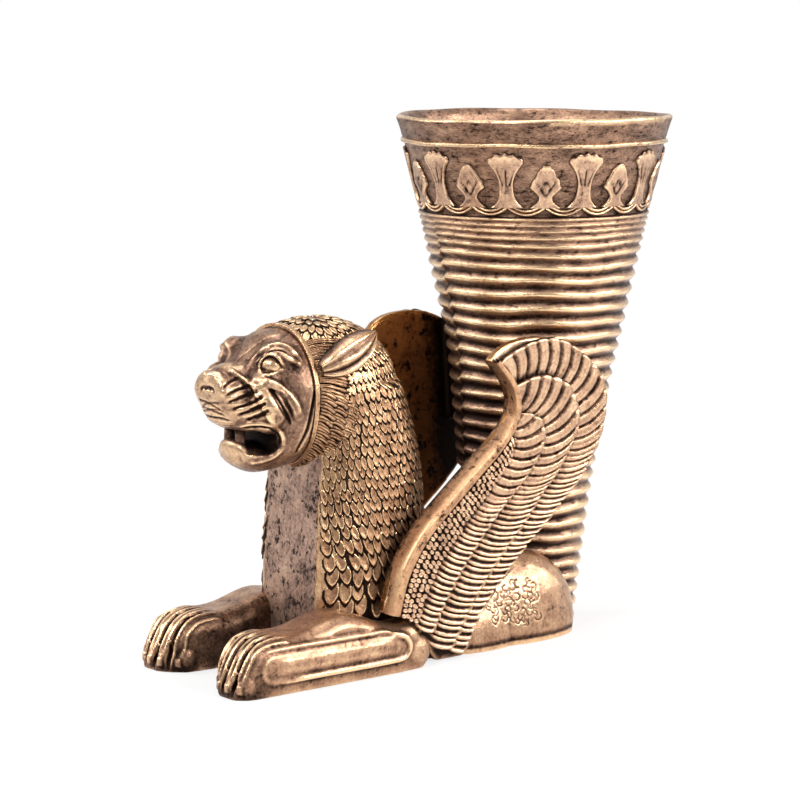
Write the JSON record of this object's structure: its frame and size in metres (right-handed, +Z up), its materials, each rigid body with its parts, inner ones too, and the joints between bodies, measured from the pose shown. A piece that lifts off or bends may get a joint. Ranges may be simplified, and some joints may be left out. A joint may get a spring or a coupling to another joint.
{
  "type": "rhyton drinking cup",
  "caption": "Upright ribbed horn cup with a flower-and-bud border, carried by the forepart of a crouching winged lion with open jaws, in antique-gold ceramic",
  "frame": {"origin": "middle of the vessel's outline on the surface it stands on", "axes": "+Z up; the lion looks along -Y; its left side is +X"},
  "size_m": [0.107, 0.221, 0.2],
  "materials": {
    "horn_gold": "antique-gold finish with dark patina in the hollows",
    "border_gold": "antique-gold finish with dark patina in the hollows",
    "mane_gold": "antique-gold finish with dark patina in the hollows",
    "face_gold": "antique-gold finish with dark patina in the hollows",
    "leg_gold": "antique-gold finish with dark patina in the hollows",
    "wing_gold": "antique-gold finish with dark patina in the hollows",
    "under_brown": "antique-gold finish with dark patina in the hollows"
  },
  "bodies": {
    "root": {"cup_shell": "horn_gold", "lip_bead": "horn_gold", "lotus_sprigs": "border_gold", "bud_sprigs": "border_gold", "festoon_cords": "border_gold", "neck_shell": "mane_gold", "mane_scales": "mane_gold", "face_cord": "mane_gold", "head_shell": "face_gold", "lower_jaw": "face_gold", "tongue": "face_gold", "fangs": "face_gold", "left_eye": "face_gold", "right_eye": "face_gold", "left_ear": "face_gold", "right_ear": "face_gold", "left_foreleg": "leg_gold", "right_foreleg": "leg_gold", "left_haunch": "leg_gold", "right_haunch": "leg_gold", "left_wing": "wing_gold", "right_wing": "wing_gold", "left_wing_edge": "wing_gold", "right_wing_edge": "wing_gold", "left_primaries": "wing_gold", "right_primaries": "wing_gold", "left_secondaries": "wing_gold", "right_secondaries": "wing_gold", "left_coverts": "wing_gold", "right_coverts": "wing_gold", "torso_shell": "under_brown", "torso_plug": "under_brown", "neck_plug": "under_brown"}
  },
  "joints": []
}
